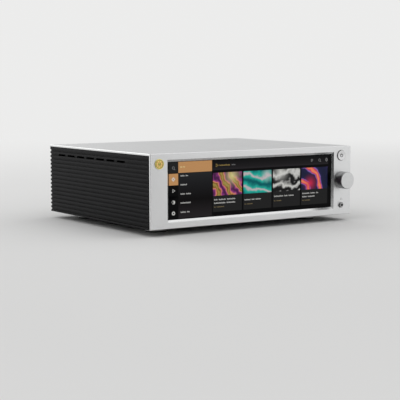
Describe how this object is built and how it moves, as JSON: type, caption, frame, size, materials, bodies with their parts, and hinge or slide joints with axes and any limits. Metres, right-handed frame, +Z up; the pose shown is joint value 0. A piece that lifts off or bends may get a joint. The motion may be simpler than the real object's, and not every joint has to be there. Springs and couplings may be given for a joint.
{
  "type": "network music streamer",
  "caption": "Hi-fi network music streamer: silver front with a wide display, turning knob and power button, ribbed black sides, on round feet.",
  "frame": {"origin": "on the floor, under the middle of the whole object", "axes": "+X to the right, -Y out of the front, +Z up"},
  "size_m": [0.355, 0.3176, 0.1125],
  "materials": {
    "silver_front": "fine bead-blasted and clear anodised",
    "knob_aluminium": "finely turned and clear anodised",
    "silver_cover": "fine bead-blasted, clear anodised, polished edge",
    "black_anodised": "black anodised",
    "black_steel": "black powder coat",
    "zinc_steel": "zinc plated",
    "display_glass": "smooth black glass over a lit panel",
    "gold_brass": "polished gold",
    "brass": "turned",
    "polished_aluminium": "polished",
    "foot_aluminium": "turned, diamond cut rim",
    "rubber": "matte",
    "black_plastic": "fine texture",
    "circuit_board": "solder mask",
    "cable_film": "smooth film",
    "capacitor_can": "shrink sleeve",
    "transformer_wrap": "film wrapped winding",
    "socket_steel": "nickel plated",
    "socket_gold": "gold plated",
    "black_nickel": "black nickel"
  },
  "bodies": {
    "housing": {"front_panel": "silver_front", "front_panel_nuts": "zinc_steel", "front_frame": "black_steel", "frame_screws": "zinc_steel", "left_side_panel": "black_anodised", "right_side_panel": "black_anodised", "top_cover": "silver_cover", "cover_screws": "black_steel", "base_tray": "black_steel", "tray_screws": "black_steel", "rear_panel": "black_steel", "rear_panel_screws": "black_steel", "connector_screws": "zinc_steel", "display_glass": "display_glass", "display_module": "black_plastic", "display_clamp": "zinc_steel", "display_driver_board": "circuit_board", "display_cable": "cable_film", "badge_disc": "gold_brass", "button_guide": "black_plastic", "power_switch": "black_plastic", "encoder_housing": "zinc_steel", "encoder_nut": "zinc_steel", "headphone_jack": "polished_aluminium", "headphone_nut": "polished_aluminium", "control_board": "circuit_board", "front_left_foot": "foot_aluminium", "front_right_foot": "foot_aluminium", "rear_left_foot": "foot_aluminium", "rear_right_foot": "foot_aluminium", "foot_pads": "rubber", "foot_screws": "zinc_steel", "main_board": "circuit_board", "audio_board": "circuit_board", "supply_board": "circuit_board", "board_standoffs": "brass", "board_screws": "zinc_steel", "processor_module": "circuit_board", "processor_heat_sink": "black_anodised", "supply_capacitors": "capacitor_can", "audio_capacitors": "capacitor_can", "mains_transformer": "transformer_wrap", "transformer_bolt": "zinc_steel", "supply_screen": "zinc_steel", "mains_inlet": "black_plastic", "mains_switch": "black_plastic", "network_socket": "socket_steel", "usb_socket": "socket_steel", "video_socket": "socket_steel", "optical_sockets": "black_plastic", "coaxial_sockets": "socket_gold", "line_output_sockets": "socket_gold", "balanced_output_left": "black_nickel", "balanced_output_right": "black_nickel"},
    "power_button": {"power_button": "polished_aluminium", "switch_plunger": "black_plastic"},
    "encoder_plunger": {"encoder_plunger": "black_plastic"},
    "knob": {"control_knob": "knob_aluminium", "encoder_shaft": "brass"},
    "mains_rocker": {"mains_rocker": "black_plastic"}
  },
  "joints": [
    {"name": "power_button_press", "type": "slide", "parent": "housing", "child": "power_button", "axis": [0, 1, 0], "range_m": [0, 0.0008], "stiffness_N_per_m": 1500},
    {"name": "knob_press", "type": "slide", "parent": "housing", "child": "encoder_plunger", "axis": [0, 1, 0], "range_m": [0, 0.0005], "stiffness_N_per_m": 4000},
    {"name": "knob_turn", "type": "hinge", "parent": "encoder_plunger", "child": "knob", "pos_m": [0.1587, -0.1438, 0.0618], "axis": [0, -1, 0], "continuous": true},
    {"name": "mains_rocker_tip", "type": "hinge", "parent": "housing", "child": "mains_rocker", "pos_m": [-0.1205, 0.1494, 0.076], "axis": [1, 0, 0], "range_deg": [-22, 0]}
  ]
}
